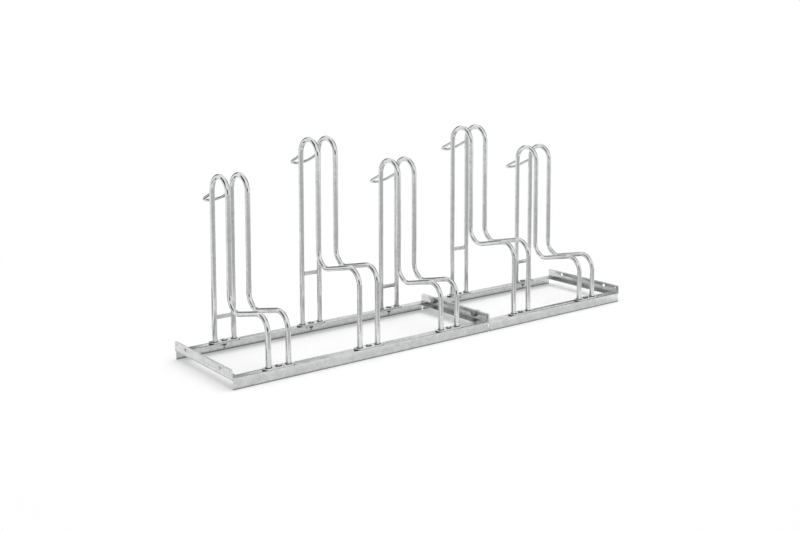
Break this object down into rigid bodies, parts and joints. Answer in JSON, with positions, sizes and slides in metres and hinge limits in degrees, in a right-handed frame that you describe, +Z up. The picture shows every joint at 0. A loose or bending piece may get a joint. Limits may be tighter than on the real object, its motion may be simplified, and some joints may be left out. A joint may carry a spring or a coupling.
{
  "type": "floor bike rack",
  "caption": "Single-sided galvanised floor bike rack: stepped tube hoops in pairs at two heights in turn on angle-steel rails, with a locking eye behind each place.",
  "frame": {"origin": "on the floor, in the middle of the outer box", "axes": "+X along the rack, from the module with more places to the other; -Y towards the side where bicycles roll in; +Z up"},
  "size_m": [1.75, 0.4598, 0.718],
  "materials": {
    "galvanised_angle": "hot-dip galvanised, satin with a fine spangle",
    "galvanised_tube": "hot-dip galvanised, semi-gloss",
    "galvanised_flat": "hot-dip galvanised, semi-gloss",
    "galvanised_rod": "hot-dip galvanised, semi-gloss",
    "plated_fastener": "zinc plated, semi-gloss",
    "dark_fastener": "dark hot-dip galvanised, dull"
  },
  "bodies": {
    "root": {"rail_front_a": "galvanised_angle", "rail_rear_a": "galvanised_angle", "rail_front_b": "galvanised_angle", "rail_rear_b": "galvanised_angle", "cross_angle_a_left": "galvanised_angle", "cross_angle_a_right": "galvanised_angle", "cross_angle_b_left": "galvanised_angle", "cross_angle_b_right": "galvanised_angle", "hoop_1_left": "galvanised_tube", "hoop_1_right": "galvanised_tube", "hoop_2_left": "galvanised_tube", "hoop_2_right": "galvanised_tube", "hoop_3_left": "galvanised_tube", "hoop_3_right": "galvanised_tube", "hoop_4_left": "galvanised_tube", "hoop_4_right": "galvanised_tube", "hoop_5_left": "galvanised_tube", "hoop_5_right": "galvanised_tube", "tie_bar_1": "galvanised_flat", "tie_bar_2": "galvanised_flat", "tie_bar_3": "galvanised_flat", "tie_bar_4": "galvanised_flat", "tie_bar_5": "galvanised_flat", "locking_eye_1": "galvanised_rod", "locking_eye_2": "galvanised_rod", "locking_eye_3": "galvanised_rod", "locking_eye_4": "galvanised_rod", "locking_eye_5": "galvanised_rod", "foot_strap_front_1": "galvanised_flat", "foot_strap_rear_1": "galvanised_flat", "foot_strap_front_2": "galvanised_flat", "foot_strap_rear_2": "galvanised_flat", "foot_strap_front_3": "galvanised_flat", "foot_strap_rear_3": "galvanised_flat", "foot_strap_front_4": "galvanised_flat", "foot_strap_rear_4": "galvanised_flat", "foot_strap_front_5": "galvanised_flat", "foot_strap_rear_5": "galvanised_flat", "foot_bolts": "plated_fastener", "foot_washers": "plated_fastener", "foot_nuts": "dark_fastener", "joint_bolts": "dark_fastener", "joint_washers": "plated_fastener", "joint_nuts": "dark_fastener"}
  },
  "joints": []
}
